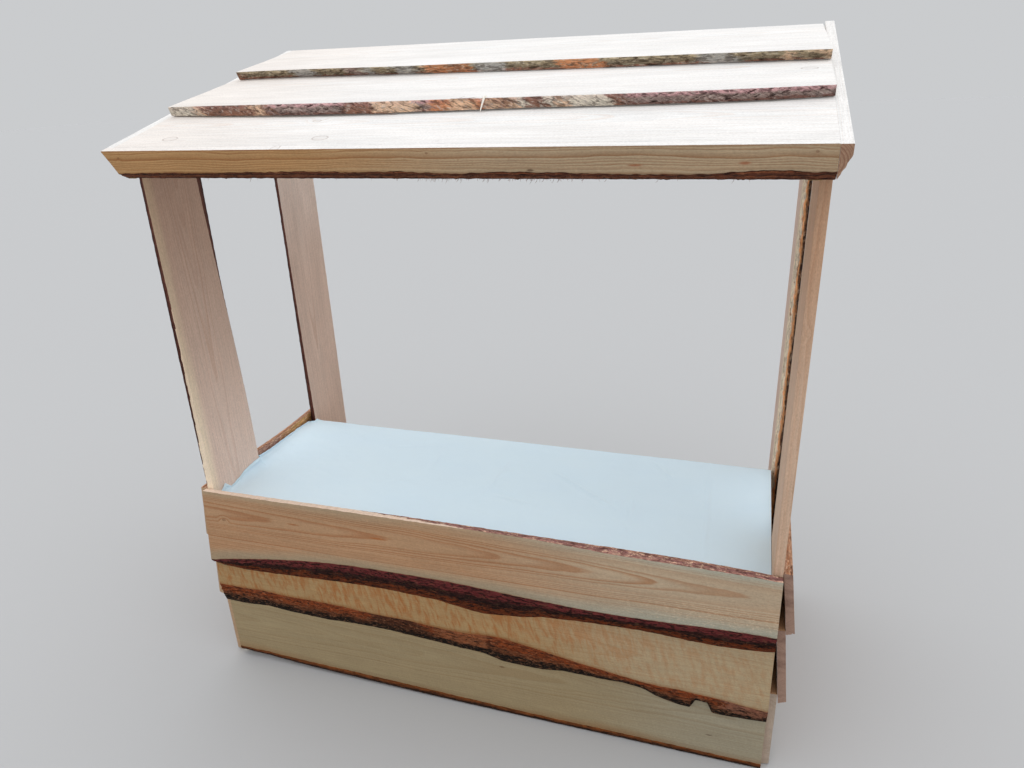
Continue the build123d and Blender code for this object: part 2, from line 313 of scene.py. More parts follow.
def bark(name, colours, turns=(0.35, 0.75), flecks=0.4, gloom=0.4, zones=(), zone_edge=2.0,
         slant=0.0, seed=0.0):
    """Bark on a board's edge, coloured as it shows on a screen.

    The colours are those next to the board's face, in the middle, at its back edge, of cracks and of
    flecks; where the bark sinks deepest the crack colour is mixed in, partly as the darker bark in its
    cracks and partly as painted shade in them. Turns are the places across the strip where one colour
    gives way to the next. Flecks and gloom are how strongly light and dark patches show. Zones are
    stretches along the board in a colour of their own, each a start, an end and a colour, and reach
    across the strip up to the zone edge.
    """
    inner, middle, outer, crack, fleck = (tone(*colour) for colour in colours)
    tree = Tree(bpy.data.materials.new("bark_" + name))
    place, (along, _, _) = tree.grain(seed, slant)
    across = tree.add("Attribute", attribute_name="strip").outputs["Fac"]
    lift = tree.add("Attribute", attribute_name="lift").outputs["Fac"]
    fibre = tree.noise(place, bark_fibre_scale, detail=4, roughness=0.68)
    plate = tree.noise(place, plate_scale, detail=3, roughness=0.6)
    patch = tree.noise(place, patch_scale, detail=4, roughness=0.68, distortion=0.8)
    blot = tree.noise(place, blot_scale, detail=3, roughness=0.6, distortion=0.6)
    fine = tree.noise(place, fine_scale, detail=2)

    # The noise lifts the border by about 0.6 and the shift by about 0.09
    border = tree.total(across, (plate, 0.7), (fibre, 0.5))
    colour = tree.mix(tree.rise(border, turns[0] + 0.5, turns[0] + 0.7), inner, middle)
    colour = tree.mix(tree.rise(border, turns[1] + 0.5, turns[1] + 0.7), colour, outer)
    shift = tree.total(along, (across, -0.02), (plate, 0.12), (patch, 0.08))
    within = tree.fall(border, zone_edge + 0.5, zone_edge + 0.7)
    for start, end, zone_colour in zones:
        inside = tree.product(tree.rise(shift, start + 0.075, start + 0.105),
                              tree.fall(shift, end + 0.075, end + 0.105))
        colour = tree.mix(tree.product(inside, within, 0.8), colour, tone(*zone_colour))
    colour = tree.mix(tree.product(tree.rise(patch, 0.53, 0.62), flecks), colour, fleck)
    colour = tree.mix(tree.product(tree.fall(blot, 0.4, 0.5), gloom), colour, crack)
    # Where the bark sinks deepest it takes the crack colour: partly the darker bark in its cracks and
    # partly painted shade in them.
    hollow = tree.fall(tree.total(lift, (fibre, 0.6)), 0.4, 0.72)
    colour = tree.mix(tree.product(hollow, 0.85), colour, crack)
    light = tree.total((tree.rise(fibre, 0.36, 0.66), 0.6), (fine, 0.6), (plate, 0.5))
    colour = tree.lit(colour, tree.math("ADD", light, 0.2))
    height = tree.total(fibre, (fine, 0.4), (patch, 0.6))
    return tree.surface(colour, 0.9, height, 0.9, 0.004, Specular_IOR_Level=0.2)


def read_board(node, along, outward):
    """A board's axes as rows, and its four edges: back lower and upper, face lower and upper."""
    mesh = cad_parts[node].data
    outer = [face for face in mesh.polygons if face.normal.dot(outward) > facing_share]
    normal = max(outer, key=lambda face: face.area).normal.copy()
    axes = np.array((along, normal.cross(along), normal))
    points = np.array([vertex.co for vertex in mesh.vertices]) @ axes.T
    edges = []
    for level in (points[:, 2].min(), points[:, 2].max()):
        side = points[abs(points[:, 2] - level) < face_tolerance]
        middle = (side[:, 1].min() + side[:, 1].max()) / 2
        for chosen in (side[side[:, 1] < middle], side[side[:, 1] > middle]):
            edges.append(chosen[np.argsort(chosen[:, 0])])
    return axes, edges


def edge_points(edge, shares):
    """Places on one edge at the given shares of its length."""
    places = edge[0, 0] + shares * (edge[-1, 0] - edge[0, 0])
    return np.stack([np.interp(places, edge[:, 0], edge[:, axis]) for axis in range(3)], axis=1)


def plane_noise(along, across, scales, seed):
    """Noise from -1 to 1 on a flat strip, with a scale along it and one across it."""
    shift = Vector((seed * 3.7, seed * 1.3, seed * 2.9))
    places = zip((along * scales[0]).ravel(), (across * scales[1]).ravel())
    return np.array([noise.noise(Vector((x, y, 0)) + shift) for x, y in places]).reshape(along.shape)


def bark_height(along, across, seed):
    """How far bark stands out, from 0 in a crack to 1 on a plate."""
    plates = np.empty(along.size)
    for index, (x, y) in enumerate(zip(along.ravel(), across.ravel())):
        nearest = noise.voronoi((x * 24 + seed * 5, y * 80, seed))[0]
        plates[index] = min(1.0, (nearest[1] - nearest[0]) * 3.2)
    ridges = 1 - abs(plane_noise(along, across, (20, 130), seed)) * 2
    rough = plane_noise(along, across, (120, 260), seed + 4)
    return np.clip(0.45 * plates.reshape(along.shape) + 0.35 * ridges + 0.25 * rough + 0.1, 0, 1)


def window(along, start, end, sharp):
    """1 between the start and the end, and 0 outside them."""
    return np.clip((along - start) * sharp, 0, 1) * np.clip((end - along) * sharp, 0, 1)


class Span:
    """One side of a board's cross-section, from one corner to the next, at every station."""

    def __init__(self, name, start, end, facing, bark_look=None, columns=3):
        self.name = name
        self.start = start
        self.look = bark_look
        line = end - start
        length = np.linalg.norm(line, axis=1, keepdims=True)
        self.count = max(3, round(length.mean() / bark_row)) if bark_look else columns
        direction = line / np.maximum(length, 1e-6)
        inset = np.minimum(arris, length * 0.3)
        shares = np.linspace(0, 1, self.count)
        self.points = np.stack([start + direction * (inset + share * (length - 2 * inset))
                                for share in shares], axis=1)
        self.normal = np.cross(direction, (1.0, 0.0, 0.0))
        self.normal *= np.sign((self.normal * facing).sum(axis=1, keepdims=True))
        across = shares[::-1] if name in ("lower", "band") else shares
        self.strip = np.tile(across, (len(start), 1))
        self.lift = np.ones_like(self.strip)
        self.cover = np.zeros_like(self.strip)
        self.width = length

    def grow_bark(self, shares, seed):
        """Raise the bark's plates, and let its outer line hang ragged."""
        along = np.repeat(self.points[:, :1, 0], self.count, axis=1)
        across = self.strip * self.width
        first, full = self.look.get("starts", (-2, -1))
        place = shares[:, None] + plane_noise(along, across, (30, 90), seed + 9) * 0.02
        start = first + (full - first) * (1 - self.strip)
        self.cover = np.clip((place - start) * bark_sharp, 0, 1)
        self.lift = bark_height(along, across + along * self.look.get("slant", 0.0), seed)
        relief = np.ones_like(along)
        for start, end, _ in self.look.get("bare", ()):
            relief -= 0.7 * window(along, start, end, bare_sharp)
        rise = np.minimum(1, np.minimum(self.strip, 1 - self.strip) * 6)
        height = self.look["thickness"] * (self.lift - 0.45) * rise * relief * self.cover
        self.lift = 1 - (1 - self.lift) * relief
        self.points += self.normal[:, None, :] * height[:, :, None]
        hang = 0.0
        for number, (frequency, share) in enumerate(hang_waves, 1):
            hang = hang + plane_noise(along, across * 0, (frequency, 0), seed + number) * share
        outward = 1 if self.name == "upper" else -1
        pull = self.strip ** 3 * (hang - 0.3) * self.look["ragged"] * self.cover
        self.points[:, :, 1] += pull * outward


def notch(corner, target, notches):
    """Draw an edge back towards another one over each notch: a start, an end and a share."""
    for start, end, share in notches:
        pull = window(corner[:, 0], start, end, bark_sharp) * share
        corner += (target - corner) * pull[:, None]


def board_spans(edges, shares, barks, columns, seed):
    """The sides of the cross-section in order round it, with their bark, and the face's two edges."""
    corners = [edge_points(edge, shares) for edge in edges]
    for index, (corner, side) in enumerate(zip(corners, ("lower", "upper") * 2)):
        amount = waney_wander if side in barks and barks[side]["thickness"] else sawn_wander
        offset = np.full(len(corner), index * 5.0)
        corner[:, 1] += plane_noise(corner[:, 0], offset, (45, 1), seed) * amount
    back_lower, back_upper, face_lower, face_upper = corners
    lower_look = barks.get("lower", {})
    for key, corner in (("face_rise", face_lower), ("back_rise", back_lower)):
        if key in lower_look:
            places, rises = (np.array([*column]) / 1000 for column in zip(*lower_look[key].items()))
            corner[:, 1] += np.interp(corner[:, 0], places, rises)
    notch(back_lower, face_lower, lower_look.get("notches", ()))
    outside = np.array((0.0, 0.0, 1.0))
    above = np.array((0.0, 1.0, 0.0))
    spans = []
    face_start = face_lower
    if "band" in barks:
        heights = barks["band"]["heights"]
        face_start = face_lower.copy()
        face_start[:, 1] += np.interp(shares, np.linspace(0, 1, len(heights)), heights)
        wander = plane_noise(face_start[:, 0], face_start[:, 0] * 0, (55, 0), seed + 6)
        face_start[:, 1] += wander * barks["band"].get("wander", 0.0015)
        spans.append(Span("band", face_lower, face_start, outside, barks["band"]))
    spans.append(Span("face", face_start, face_upper, outside, columns=columns))
    spans.append(Span("upper", face_upper, back_upper, above, barks.get("upper")))
    back_start = back_upper
    if "crest" in barks:
        back_start = back_upper - above * barks["crest"]["depth"]
        spans.append(Span("crest", back_upper, back_start, -outside, barks["crest"]))
    spans.append(Span("back", back_start, back_lower, -outside, columns=columns))
    spans.append(Span("lower", back_lower, face_lower, -above, barks.get("lower")))
    for span in spans:
        if span.look:
            span.grow_bark(shares, seed)
    return spans, (face_lower, face_upper)


def board_mesh(name, spans, axes, face_edges, wood_material, end_material):
    """A closed mesh through the points of every span, with the places on the board kept on it."""
    grid = []
    values = {"strip": [], "lift": []}
    slots = []
    materials = [wood_material, end_material]
    for index, span in enumerate(spans):
        before = spans[index - 1]
        corner = span.start - (before.normal + span.normal) * (arris * 0.3)
        grid += [corner[:, None, :], span.points]
        for key, lists in values.items():
            field = getattr(span, key)
            lists += [field[:, :1], field]
        bare = 0
        if span.look:
            if "bare_wood" in span.look:
                bare = len(materials)
                materials.append(span.look["bare_wood"])
            materials.append(span.look["material"])
        slot = np.where(span.cover > 0.5, len(materials) - 1, bare)
        slots += [slot[:, :1], slot]
    grid = np.concatenate(grid, axis=1)
    slots = np.concatenate(slots, axis=1)
    middle = grid.mean(axis=1, keepdims=True)
    for end in (0, -1):
        spoke = middle[end] - grid[end]
        grid[end] += spoke / np.linalg.norm(spoke, axis=1, keepdims=True) * arris * 0.6

    rows, around = grid.shape[:2]
    vertices = grid.reshape(-1, 3)
    faces = []
    for row in range(rows - 1):
        for column in range(around):
            following = (column + 1) % around
            faces.append((row * around + column, row * around + following,
                          (row + 1) * around + following, (row + 1) * around + column))
    faces.append(tuple(reversed(range(around))))
    faces.append(tuple(range((rows - 1) * around, rows * around)))
    world = vertices @ axes
    world[:, 2] = np.maximum(world[:, 2], ground_gap)
    mesh = bpy.data.meshes.new(name)
    mesh.from_pydata(world.tolist(), [], faces)

    low, high = (edge[:, 1][:, None] for edge in face_edges)
    rim = np.stack([grid[:, :, 1] - low, high - grid[:, :, 1], grid[:, :, 1] * 0], axis=-1)
    places = vertices - (vertices.min(axis=0) + vertices.max(axis=0)) / 2
    for key, field in (("grain", places), ("rim", rim)):
        attribute = mesh.attributes.new(key, "FLOAT_VECTOR", "POINT")
        attribute.data.foreach_set("vector", field.astype(np.float32).ravel())
    for key, lists in values.items():
        attribute = mesh.attributes.new(key, "FLOAT", "POINT")
        attribute.data.foreach_set("value", np.concatenate(lists, axis=1).astype(np.float32).ravel())
    for material in materials:
        mesh.materials.append(material)
    mesh.polygons.foreach_set("material_index", [*slots[:-1].ravel().tolist(), 1, 1])
    shape = bmesh.new()
    shape.from_mesh(mesh)
    bmesh.ops.recalc_face_normals(shape, faces=shape.faces)
    shape.to_mesh(mesh)
    shape.free()
    mesh.shade_smooth()
    mesh.set_sharp_from_angle(angle=sharp_angle)
    return mesh


def add_piece(name, mesh, node=None):
    """Put a mesh in the scene as a piece of the stall."""
    piece = bpy.data.objects.new(name, mesh)
    bpy.context.scene.collection.objects.link(piece)
    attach(piece, "root")
    if node is not None:
        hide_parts(node)
    return piece


def growth(material, thickness, ragged=0.002, **settings):
    """The bark of one strip: how thick it is, and how far its outer line hangs ragged."""
    return dict(material=material, thickness=thickness, ragged=ragged, **settings)


def board(node, along, outward, wood_material, barks=None, ends=None, seed=1, step=plain_step,
          columns=8):
    """A board drawn again in fine detail.

    Barks has a look for each strip with bark: the lower and the upper edge, a band along the foot of
    the face and a crest along the top of the back.
    """
    axes, edges = read_board(node, along, outward)
    length = max(edge[-1, 0] for edge in edges) - min(edge[0, 0] for edge in edges)
    shares = np.linspace(0, 1, max(3, round(length / step)))
    spans, face_edges = board_spans(edges, shares, barks or {}, columns, seed)
    mesh = board_mesh(node, spans, axes, face_edges, wood_material, ends or wood_material)
    return add_piece(node + "_wood", mesh, node)


# Colours of fresh softwood, as they show on a screen
tan = ((180, 143, 109), (154, 92, 50), (166, 150, 124))
straw = ((170, 140, 98), (154, 108, 64), (184, 170, 142))
khaki = ((162, 144, 111), (140, 112, 76), (164, 152, 126))
pink = ((216, 188, 170), (186, 140, 114), (236, 214, 184))
amber = ((200, 160, 130), (170, 118, 84), (216, 192, 160))
cream = ((240, 239, 237), (231, 216, 205), (242, 241, 239))
honey = ((184, 144, 98), (146, 94, 52), (176, 150, 112))

black = (20, 10, 8)
peeled = (238, 200, 166)
pale = (236, 226, 206)
lichen = (190, 188, 184)
rust = (216, 142, 96)
mauve = (170, 142, 136)
umber = (142, 98, 76)

maroon_bark = bark(
    "maroon", ((108, 44, 44), (48, 22, 18), (104, 46, 18), black, (108, 80, 56)), turns=(0.36, 0.66),
    gloom=0.75, seed=3)
# The orange bark's near-black colour at its back edge is partly dark bark and partly painted shadow under
# that edge.
orange_bark = bark(
    "orange", ((134, 64, 30), (116, 66, 40), (26, 16, 9), (24, 14, 9), (166, 116, 84)),
    turns=(0.4, 0.66), flecks=0.45, gloom=0.6, seed=5, zone_edge=0.66,
    zones=((-0.36, -0.14, (68, 40, 26)), (-0.1, 0.08, (146, 88, 56)), (0.86, 1.2, (136, 92, 74))))
# The band bark's near-black colour along the board's foot is partly dark bark and partly painted shadow
# where the board meets the ground.
band_bark = bark(
    "band", ((122, 68, 32), (96, 52, 26), (34, 20, 12), (36, 20, 12), (150, 94, 54)),
    turns=(0.4, 0.66), flecks=0.3, seed=6)
brown_bark = bark(
    "brown", ((70, 38, 26), (118, 66, 42), (82, 46, 34), (38, 22, 16), (150, 100, 68)),
    turns=(0.2, 0.75), seed=8)
edge_bark = bark(
    "post", ((104, 58, 46), (82, 44, 36), (66, 38, 30), (40, 22, 18), (140, 84, 66)),
    flecks=0.35, seed=7)
purple_bark = bark(
    "purple", ((176, 128, 116), (148, 102, 98), (164, 118, 100), (86, 50, 48), (236, 200, 170)),
    flecks=0.9, gloom=0.5, seed=9)
granular_bark = bark(
    "granular", ((196, 150, 120), (176, 124, 92), (168, 128, 106), (110, 72, 54), (226, 190, 160)),
    flecks=0.7, gloom=0.3, seed=10)
# The split bark's near-black colour at its back edge is partly dark bark and partly painted shade in the
# gap beside the front right post.
split_bark = bark(
    "split", ((236, 218, 192), (228, 158, 106), (48, 33, 25), (176, 116, 78), (236, 200, 168)),
    turns=(0.45, 0.72), flecks=0.3, gloom=0.15, seed=11)
crest_bark = bark(
    "crest", ((206, 152, 110), (184, 132, 98), (196, 146, 108), (128, 78, 54), (246, 208, 172)),
    flecks=0.8, seed=12, zones=((0.02, 0.3, (182, 140, 128)), (-0.3, -0.06, (220, 166, 100))))

# Ends and edges cut across or along the grain
sawn = dict(pith=(0.02, -0.06), marks=0.9)
dark_end = wood(
    "end_dark", ((170, 140, 124), (128, 90, 74), (140, 122, 108)), figure=((84, 50, 42), 0.5),
    seed=12.0, **sawn)
light_end = wood("end_light", ((186, 156, 126), (160, 120, 86), (140, 122, 108)), seed=14.0, **sawn)
shaded_end = wood("end_shaded", ((186, 170, 154), (150, 122, 104), (170, 158, 142)), seed=14.5, **sawn)
edge_wood = wood("edge", ((232, 208, 188), (206, 160, 130), (232, 218, 196)), seed=15.0, **sawn)
red_end = wood(
    "end_red", ((168, 134, 110), (122, 78, 58), (140, 122, 108)), pith=(0.0, -0.03), ring=0.005,
    contrast=0.9, marks=0.8, seed=13.0)

# Front boards
# The sawn face of the lowest board runs out into the bark along the ground.
# Each front board's tint is painted sheen: it makes the board greyer and bluer towards its right end.
front_looks = {
    "lower": dict(
        pith=(0.05, -0.12), taper=0.012, stain=((166, 112, 62), 0.055, 0), seed=1.0,
        tints_and_painted_light=(((1.0, 1.13, 1.4, 1), 0.3, 0.9),),
        patches=((0.117, 0.068, 0.012, 0.005, (110, 78, 52)),
                 (0.816, -0.041, 0.014, 0.003, (96, 70, 52))), colours=khaki),
    "middle": dict(
        pith=(0.02, -0.11), taper=0.015, contrast=0.3, figure=((160, 98, 48), 0.8),
        stain=((150, 90, 42), 0.012, 0.014), tints_and_painted_light=(((1.06, 1.24, 1.62, 1), 0.1, 0.7),), seed=2.0,
        colours=straw),
    "upper": dict(
        pith=(0.075, -0.0845), taper=0.0125, contrast=0.8, sway=0.002, waver=0.005, dashes=0.4,
        sapwood=(0.03, 0.014), knots=((-0.91, 0.05, 0.006),), stain=((150, 106, 70), 0.005, 0),
        tints_and_painted_light=(((1.04, 1.32, 1.62, 1), -0.1, 0.7),), seed=3.0,
        patches=((-0.29, 0.072, 0.035, 0.004, (168, 98, 50)),
                 (-0.62, 0.075, 0.03, 0.004, (160, 96, 54))), colours=tan)}
# How far the lower edge of face or back lies above the solid's, at places along the board, both
# in millimetres
lower_rise = {-980: -10, -850: 0}
middle_face_rise = {
    -900: 20, -800: 22, -700: 14, -450: 11, -370: 9, -220: 13, -80: 3, 0: 4, 60: 13, 130: 21, 270: 17,
    400: 10, 600: 11, 660: 16, 720: 24, 840: 28, 910: 22, 980: 14}
middle_back_rise = {
    -900: 21, -800: 29, -700: 20, -550: 13, -450: 17.5, -300: 23, -80: 23.5, 60: 24, 130: 10.5,
    270: 12, 340: 22.5, 470: 22.5, 540: 28, 600: 26.5, 660: 10, 720: 2, 850: 4, 980: 15}
upper_face_rise = {-980: 4, -700: 6, -370: 11, -70: 10, 200: 1, 700: -4, 980: 0}
upper_back_rise = {
    -870: 11, -700: 15.5, -220: 15.5, -90: 17.5, 0: 6.5, 70: -2, 210: 2, 275: 10.5, 470: 16.5,
    600: 22.5, 720: 20.5, 830: 16, 980: 13}
front_barks = {
    "lower": {
        "band": growth(band_bark, 0.003, 0.001,
                       heights=(0.012, 0.02, 0.024, 0.026, 0.024, 0.02, 0.02, 0.02, 0.018)),
        "lower": growth(band_bark, 0.002, 0.0, face_rise=lower_rise, back_rise=lower_rise)},
    "middle": {
        "lower": growth(orange_bark, 0.008, 0.0035, face_rise=middle_face_rise,
                        back_rise=middle_back_rise, notches=((0.757, 0.826, 0.6),))},
    "upper": {
        "lower": growth(maroon_bark, 0.008, 0.0035, face_rise=upper_face_rise,
                        back_rise=upper_back_rise),
        "upper": growth(purple_bark, 0.004, 0.003, starts=(0.3, 0.5), bare_wood=edge_wood)}}
for number, (name, look) in enumerate(front_looks.items()):
    front_wood = wood(f"front_{name}", marks=0.35, **look)
    board(f"front_board_{name}", right, front, front_wood, front_barks[name], light_end,
          seed=number + 1, step=fine_step, columns=10)

# Side boards
side_ends = {"left": (light_end,) * 3, "right": (shaded_end, dark_end, dark_end)}
for side, outward, along in (("left", left, front), ("right", right, back)):
    for number, name in enumerate(("lower", "middle", "upper")):
        seed = 10 + number + (5 if side == "left" else 0)
        top_stain = 0.03 if name == "upper" else 0
        side_wood = wood(
            f"{side}_{name}", pith=(0.06 - 0.04 * number, -0.09 + 0.01 * number), contrast=0.5,
            taper=(0.024, -0.016, 0.02)[number], sapwood=(0.03, 0.0), seed=seed * 0.7,
            stain=((186, 138, 104), 0, top_stain), colours=tan)
        barks = {"lower": growth(maroon_bark, 0.006, 0.003)}
        if name == "upper":
            barks["upper"] = growth(granular_bark, 0.004, 0.003)
        if (side, name) == ("left", "upper"):
            barks["crest"] = growth(crest_bark, 0.0015, depth=0.045)
        board(f"{side}_board_{name}", along, outward, side_wood, barks,
              side_ends[side][number], seed=seed, step=0.005)

# Posts
# The upper edge of a left post is its front, and that of a right post its back.
post_looks = {
    "front_left": dict(
        pith=(0.01, -0.05), taper=-0.02, ring=0.005, contrast=0.3, sapwood=(0.0, 0.028), seed=5.0,
        # The front left post's tints are painted shade, darker towards its top under the roof, and
        # painted light, brighter towards its foot above the cloth.
        tints_and_painted_light=(((0.72, 0.65, 0.6, 1), 0.0, 0.8), ((1.4, 1.5, 1.6, 1), 0.3, -0.6)), colours=pink),
    "front_right": dict(
        pith=(0.01, -0.08), taper=-0.016, contrast=0.35, knots=((0.47, -0.13, 0.006),), seed=5.5,
        tints_and_painted_light=(((1.14, 1.3, 1.46, 1), 0.75, 0.2),), colours=amber),
    "back_left": dict(
        pith=(0.03, -0.05), taper=-0.014, ring=0.005, contrast=0.35, seed=6.0,
        tints_and_painted_light=(((1.15, 1.27, 1.36, 1), 0.2, 0.8),), colours=pink),
    "back_right": dict(
        pith=(0.02, -0.08), taper=-0.014, contrast=0.3, sapwood=(0.03, 0.0), seed=6.5, colours=pink)}
thin_bark = growth(edge_bark, 0.003, 0.003)
post_barks = {
    "front_left": {"upper": {**thin_bark, "starts": (0.38, 0.74)}, "lower": thin_bark},
    "front_right": {"upper": thin_bark},
    "back_left": {"upper": thin_bark, "lower": thin_bark},
    "back_right": {"upper": thin_bark, "lower": growth(split_bark, 0.002, 0.0)}}
for number, (place, look) in enumerate(post_looks.items()):
    post_wood = wood(f"post_{place}", marks=0.2, **look)
    board(f"post_{place}", up, right if "left" in place else left, post_wood,
          post_barks[place], seed=20 + number, step=0.006)

# Roof
roof_zones = {
    "middle": ((-1.0, -0.88, pale), (-0.88, -0.85, peeled), (-0.85, -0.6, umber), (-0.66, -0.62, peeled),
               (-0.34, -0.25, umber), (-0.25, -0.115, peeled), (-0.08, 0.08, rust), (-0.02, 0.05, peeled),
               (0.09, 0.18, peeled), (0.12, 0.15, umber), (0.18, 0.21, pale), (0.21, 0.26, umber),
               (0.26, 0.29, pale), (0.29, 0.33, peeled), (0.33, 0.44, pale), (0.44, 0.48, umber)),
    "upper": ((-1.0, -0.94, umber), (-0.74, -0.66, lichen), (-0.52, -0.46, mauve), (-0.45, -0.42, lichen),
              (-0.34, -0.26, lichen), (-0.22, -0.07, rust), (-0.15, -0.1, umber), (-0.045, 0.045, lichen),
              (0.22, 0.36, rust), (0.64, 0.73, lichen), (0.87, 0.895, peeled), (0.955, 1.0, peeled))}
roof_barks = {
    "middle": ((212, 166, 166), (158, 136, 128), (128, 94, 84), (62, 40, 36), (196, 182, 172)),
    "upper": ((186, 168, 138), (146, 130, 106), (160, 112, 94), (72, 56, 44), (206, 196, 176))}
roof_knots = {
    "lower": ((-0.837, -0.095, 0.018), (-0.327, -0.106, 0.018), (-0.413, 0.036, 0.01),
              (0.034, -0.141, 0.004)),
    "middle": ((0.932, 0.002, 0.016),), "upper": ()}
roof_woods = {}
for number, name in enumerate(("lower", "middle", "upper")):
    roof_wood = wood(
        f"roof_{name}", pith=(0.02 + 0.03 * number, -0.09), taper=0.02, contrast=0.5, marks=0.05,
        knots=roof_knots[name], knot_fill=0.1, tints_and_painted_light=(((0.97, 0.93, 0.9, 1), -0.2, -0.9),),
        seed=6.0 + number, colours=cream)
    roof_woods[name] = roof_wood
    barks = {}
    if name in roof_barks:
        zones = roof_zones[name]
        slant = 0.35 if name == "middle" else 0.0
        roof_bark = bark(f"roof_{name}", roof_barks[name], turns=(0.3, 0.8), flecks=0.6,
                         gloom=0.6, zones=zones, slant=slant, seed=11 + number)
        barks["lower"] = growth(roof_bark, 0.009, bare=zones, slant=slant)
    board(f"roof_board_{name}", right, up, roof_wood, barks, seed=30 + number,
          step=fine_step)

fascia_wood = wood(
    "fascia", pith=(0.11, -0.05), ring=0.007, contrast=1.0, waver=0.024, marks=0.25, seed=7.0,
    knots=((-0.943, 0.017, 0.003), (0.035, 0.024, 0.003), (0.958, 0.021, 0.003)),
    patches=((0.307, -0.018, 0.01, 0.004, (84, 54, 36)), (0.563, -0.007, 0.02, 0.003, (150, 80, 44)),
             (0.809, -0.003, 0.016, 0.004, (150, 84, 50))),
    stain=((140, 92, 54), 0.008, 0.006), tints_and_painted_light=(((0.94, 1.2, 1.75, 1), -0.4, 0.3),), colours=honey)
fascia_barks = {
    "band": growth(
        brown_bark, thickness=0.002, ragged=0.001, wander=0.0025,
        heights=(0.001, 0.003, 0.001, 0.003, 0.006, 0.004, 0.007, 0.002, 0.008, 0.005, 0.002, 0.002,
                 0.01, 0.004)),
    "upper": growth(roof_woods["lower"], 0.0, 0.0),
    "lower": growth(brown_bark, 0.004, 0.003)}
board("fascia_board", right, front, fascia_wood, fascia_barks, light_end, seed=40,
      step=fine_step)
barge_wood = wood("barge", pith=(0.05, -0.08), seed=9.0, colours=cream)
for side, outward in (("left", left), ("right", right)):
    lower_side = "upper" if side == "left" else "lower"
    board(f"barge_board_{side}", roof_up, outward, barge_wood,
          {lower_side: growth(brown_bark, 0.003)}, red_end, seed=41)

# Counter and rafters
batten_wood = wood("batten", pith=(0.04, -0.08), seed=8.0, colours=straw)
battens = []
for side, inward in (("left", right), ("right", left)):
    battens.append((f"rafter_{side}", roof_up, inward, "roof_wood", 4))
    battens.append((f"table_bearer_{side}", back, inward, "counter_wood", 4))
for place in ("front", "back"):
    battens.append((f"table_rail_{place}", right, front, "counter_wood", 4))
for place in ("front", "middle", "back"):
    battens.append((f"table_board_{place}", right, up, "counter_wood", 6))
for node, along, outward, slot, columns in battens:
    board(node, along, outward, batten_wood, step=coarse_step, columns=columns)


def strand(vertices, faces, points, radius):
    """Add a thin flat strand through the points, tapered to its end."""
    sides = 5
    taper = 0.8
    flatness = 0.4
    for index, point in enumerate(points):
        reach = radius * (1 - taper * index / (len(points) - 1))
        for side in range(sides):
            angle = side * math.tau / sides
            vertices.append(point + Vector((math.cos(angle), flatness, math.sin(angle))) * reach)
    start = len(vertices) - len(points) * sides
    for index in range(len(points) - 1):
        for side in range(sides):
            first = start + index * sides + side
            second = start + index * sides + (side + 1) % sides
            faces.append((first, second, second + sides, first + sides))
    faces.append(tuple(start + side for side in range(sides)))
    faces.append(tuple(len(vertices) - 1 - side for side in range(sides)))


def loose_strands():
    """A splinter and torn fibres at the front edge of the middle roof board and under the fascia."""
    splinter_radius = 0.0046
    strip_radius = 0.0007
    fibre_radius = 0.0006
    strip_points = 9
    strip_noise = (11.8, 15.9, 10.3)  # where in the noise the strips' bends lie, for each axis
    fibres = 150
    axes, edges = read_board("roof_board_middle", right, up)
    back_lower, _, face_lower, _ = edges

    def edge_place(edge, along):
        return Vector([np.interp(along, edge[:, 0], edge[:, axis]) for axis in range(3)] @ axes)

    vertices = []
    faces = []
    top = edge_place(face_lower, 0.09)
    foot = edge_place(back_lower, 0.082)
    line = [top + back * 0.01 + up * 0.002, top + front * 0.004 + up * 0.001,
            top.lerp(foot, 0.5) + front * 0.007, foot + front * 0.009, foot + front * 0.012 - up * 0.004]
    strand(vertices, faces, line, splinter_radius)
    starts = [(back_lower, -0.26 + 0.012 * number) for number in range(5)]
    starts += [(face_lower, -0.01 + 0.018 * number) for number in range(4)]
    for number, (edge, start) in enumerate(starts):
        points = []
        for index in range(strip_points):
            share = index / (strip_points - 1)
            bends = [noise.noise((number * 3.1, share * 1.6, layer)) for layer in strip_noise]
            wander = Vector(bends) * 0.012 * share
            bow = math.sin(share * math.pi) * 0.008
            points.append(edge_place(edge, start + 0.05 * share) + front * (bow + 0.001) + wander)
        strand(vertices, faces, points, strip_radius)
    axes, edges = read_board("fascia_board", right, front)
    for number in range(fibres):
        chance = noise.cell_vector((number * 7.3, 2.1, 0.4))
        along = -0.02 + 0.42 * chance.x if number % 3 else -0.9 + 1.85 * chance.x
        foot = edge_place(edges[0], along).lerp(edge_place(edges[2], along), chance.y)
        reach = 0.004 + 0.009 * chance.z
        sweep = right * (chance.y - 0.5) * 0.014 + front * (chance.z - 0.5) * 0.006
        points = [foot + up * 0.003]
        for drop, turn in ((0.4, 0.2), (0.8, 0.7), (1.0, 1.0)):
            points.append(foot - up * reach * drop + sweep * turn)
        strand(vertices, faces, points, fibre_radius)
    mesh = bpy.data.meshes.new("loose_strands")
    mesh.from_pydata([tuple(vertex) for vertex in vertices], [], faces)
    tree = Tree(bpy.data.materials.new("torn_fibre"))
    place = tree.add("TexCoord").outputs["Object"]
    streak = tree.noise(place, (400, 400, 60), detail=3)
    parts = tree.add("SeparateXYZ", {0: place}).outputs
    near = tree.product(tree.rise(parts[0], 0.06, 0.075), tree.rise(parts[1], -0.48, -0.4))
    colour = tree.mix(near, tone(132, 84, 58), tone(255, 248, 236))
    colour = tree.lit(colour, tree.math("ADD", streak, 0.5))
    mesh.materials.append(tree.surface(colour, 0.8, streak, 0.4, 0.001))
    mesh.shade_smooth()
    add_piece("loose_strands", mesh)


loose_strands()


